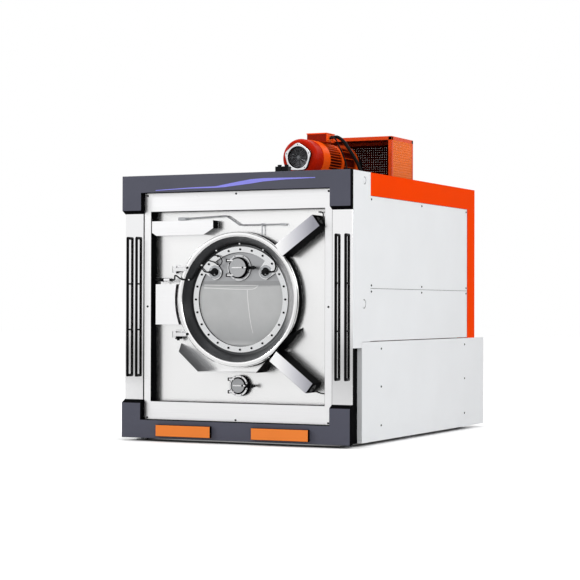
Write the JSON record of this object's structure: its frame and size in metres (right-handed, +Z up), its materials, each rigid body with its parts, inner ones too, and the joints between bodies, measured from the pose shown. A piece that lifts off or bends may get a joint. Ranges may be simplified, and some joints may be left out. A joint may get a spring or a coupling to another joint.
{
  "type": "garment dyeing machine",
  "caption": "Front-loading garment dyeing machine: a dished glass door with a sampling hatch and air clamps on a stainless front, a partitioned drum in a closed tub, and a belt drive on its roof",
  "frame": {"origin": "centre of the outline on the floor, under the feet", "axes": "+Z up; the loading door faces -Y; +X is to the right of someone who faces the door"},
  "size_m": [2.512, 3.78, 3.196],
  "materials": {
    "dark_paint": "satin dark grey structural paint",
    "slate_paint": "satin slate powder coat",
    "orange_paint": "satin red-orange paint",
    "white_paint": "off-white powder coat",
    "brushed_stainless": "brushed stainless sheet",
    "polished_stainless": "polished stainless",
    "zinc_steel": "zinc plated steel",
    "cast_iron": "painted cast iron",
    "black_rubber": "matt black rubber",
    "dark_plastic": "dark moulded plastic",
    "door_glass": "clear toughened glass"
  },
  "bodies": {
    "root": {"base_frame": "dark_paint", "levelling_feet": "zinc_steel", "front_portal": "dark_paint", "lower_fascia": "slate_paint", "upper_fascia": "slate_paint", "fork_pocket_covers": "orange_paint", "column_covers": "brushed_stainless", "rub_rails": "black_rubber", "front_surround": "brushed_stainless", "corner_claddings": "white_paint", "rear_frame": "orange_paint", "upper_side_panels": "white_paint", "lower_side_panels": "white_paint", "side_box_left": "white_paint", "side_box_right": "white_paint", "rear_panels": "white_paint", "top_deck": "slate_paint", "panel_screws": "zinc_steel", "tub_front_plate": "brushed_stainless", "tub_shell": "brushed_stainless", "drip_tray": "brushed_stainless", "hinge_box": "brushed_stainless", "hinge_brackets": "brushed_stainless", "interlock_cover": "brushed_stainless", "interlock_rod": "brushed_stainless", "clamp_covers": "brushed_stainless", "clamp_cylinders": "dark_plastic", "clamp_hoses": "black_rubber", "lead_connector": "dark_plastic", "port_frame": "polished_stainless", "drain_pipe": "brushed_stainless", "bearing_housing": "cast_iron", "drum_bearings": "zinc_steel", "motor_body": "orange_paint", "motor_cowl": "orange_paint", "terminal_box": "orange_paint", "motor_base": "dark_paint", "motor_cables": "black_rubber", "belt_guard": "orange_paint", "drive_belts": "black_rubber", "air_valves": "dark_plastic"},
    "door": {"door_rim": "polished_stainless", "door_gasket": "black_rubber", "glass_ring": "polished_stainless", "glass_ring_bolts": "zinc_steel", "door_glass": "door_glass", "hatch_plate": "polished_stainless", "door_lamps": "dark_plastic", "hinge_arms": "polished_stainless", "door_cable": "black_rubber"},
    "hatch": {"hatch_cover": "polished_stainless"},
    "hatch_knob_body": {"hatch_knob": "dark_plastic"},
    "port": {"port_cover": "polished_stainless"},
    "port_knob_body": {"port_knob": "dark_plastic"},
    "clamp_upper": {"clamp_pad_upper": "polished_stainless"},
    "clamp_lower": {"clamp_pad_lower": "polished_stainless"},
    "drum": {"drum_shell": "polished_stainless", "drum_partitions": "polished_stainless", "drum_shaft": "cast_iron"},
    "motor_rotor": {"motor_pulley": "cast_iron"}
  },
  "joints": [
    {"name": "door_swing", "type": "hinge", "parent": "root", "child": "door", "pos_m": [-0.7, -1.75, 1.411], "axis": [0, 0, -1], "range_deg": [0, 115]},
    {"name": "hatch_swing", "type": "hinge", "parent": "door", "child": "hatch", "pos_m": [-0.135, -1.715, 1.722], "axis": [0, 0, -1], "range_deg": [0, 110]},
    {"name": "hatch_knob_turn", "type": "hinge", "parent": "hatch", "child": "hatch_knob_body", "pos_m": [0.167, -1.72, 1.722], "axis": [0, 1, 0], "range_deg": [0, 90]},
    {"name": "port_swing", "type": "hinge", "parent": "root", "child": "port", "pos_m": [-0.103, -1.729, 0.566], "axis": [0, 0, -1], "range_deg": [0, 110]},
    {"name": "port_knob_turn", "type": "hinge", "parent": "port", "child": "port_knob_body", "pos_m": [0.165, -1.74, 0.566], "axis": [0, 1, 0], "range_deg": [0, 90]},
    {"name": "clamp_upper_slide", "type": "slide", "parent": "root", "child": "clamp_upper", "axis": [-0.809, 0, -0.5878], "range_m": [0, 0.06]},
    {"name": "clamp_lower_slide", "type": "slide", "parent": "root", "child": "clamp_lower", "axis": [-0.788, 0, 0.6157], "range_m": [0, 0.06]},
    {"name": "drum_spin", "type": "hinge", "parent": "root", "child": "drum", "pos_m": [0, -0.75, 1.411], "axis": [0, 1, 0], "continuous": true},
    {"name": "motor_spin", "type": "hinge", "parent": "root", "child": "motor_rotor", "pos_m": [0, 0.85, 2.906], "axis": [0, 1, 0], "continuous": true}
  ],
  "couplings": [
    {"joint": "motor_spin", "follows": "drum_spin", "ratio": 3.9286}
  ]
}
